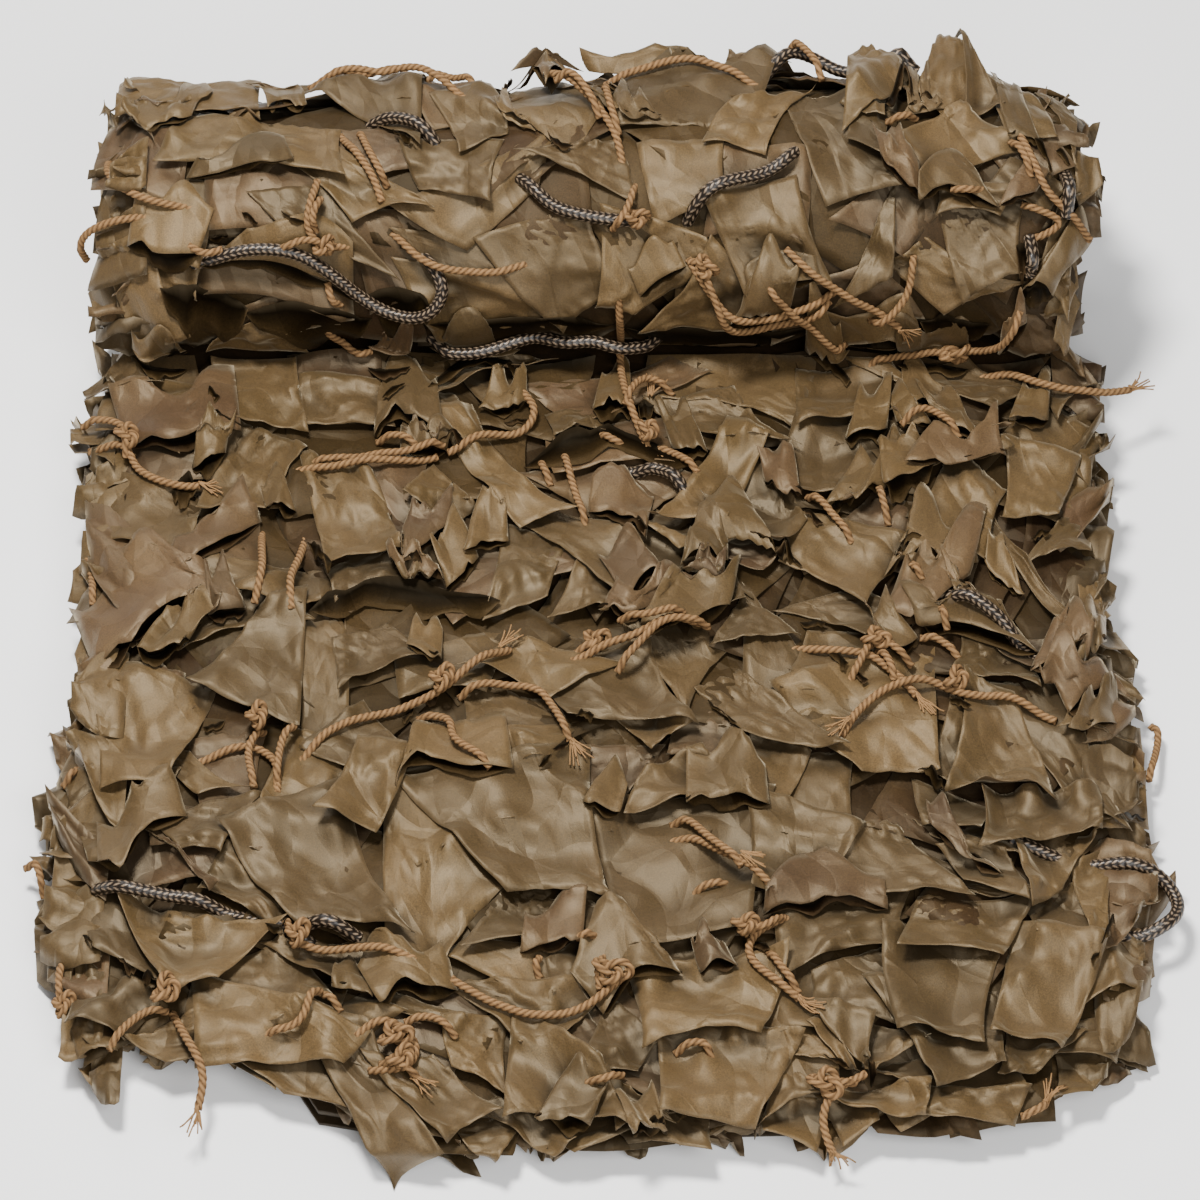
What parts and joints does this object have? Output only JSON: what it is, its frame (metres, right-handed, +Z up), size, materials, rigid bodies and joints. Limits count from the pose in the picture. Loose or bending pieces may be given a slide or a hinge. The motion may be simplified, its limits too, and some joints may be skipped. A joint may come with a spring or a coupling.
{
  "type": "camouflage net",
  "caption": "Leaf-cut camouflage net, folded lengthwise in layers with its far end rolled up, with knotted twine ties and a braided border rope.",
  "frame": {"origin": "middle of the base on the floor, under the middle of the cloth's length and width", "axes": "+X across the folded width, -Y towards the loose tail's front edge, +Z up"},
  "size_m": [0.4782, 0.5514, 0.138],
  "materials": {
    "leaf_cloth": "satin",
    "net_twine": "matte",
    "border_rope": "glossy"
  },
  "bodies": {
    "root": {"border_rope_double": "border_rope", "border_rope_left": "border_rope", "border_rope_loop": "border_rope", "border_rope_middle": "border_rope", "border_rope_right": "border_rope", "border_rope_tail": "border_rope", "border_rope_top": "border_rope", "border_rope_top_left": "border_rope", "leaf_net": "leaf_cloth", "twine_tie_big_a": "net_twine", "twine_tie_by_loop": "net_twine", "twine_tie_crease": "net_twine", "twine_tie_fan": "net_twine", "twine_tie_frayed": "net_twine", "twine_tie_front_knot": "net_twine", "twine_tie_front_left": "net_twine", "twine_tie_front_right": "net_twine", "twine_tie_hanging": "net_twine", "twine_tie_hook": "net_twine", "twine_tie_left_fan": "net_twine", "twine_tie_left_knot": "net_twine", "twine_tie_left_long": "net_twine", "twine_tie_lens": "net_twine", "twine_tie_low_mid": "net_twine", "twine_tie_low_right": "net_twine", "twine_tie_mid": "net_twine", "twine_tie_middle_bow": "net_twine", "twine_tie_out_left": "net_twine", "twine_tie_out_right": "net_twine", "twine_tie_right_long": "net_twine", "twine_tie_right_v": "net_twine", "twine_tie_roll_left": "net_twine", "twine_tie_roll_top": "net_twine", "twine_tie_roll_v": "net_twine", "twine_tie_scallop": "net_twine", "twine_tie_tongue": "net_twine", "twine_tie_top_mid": "net_twine", "twine_tie_v_left": "net_twine", "twine_tie_v_right": "net_twine"}
  },
  "joints": []
}
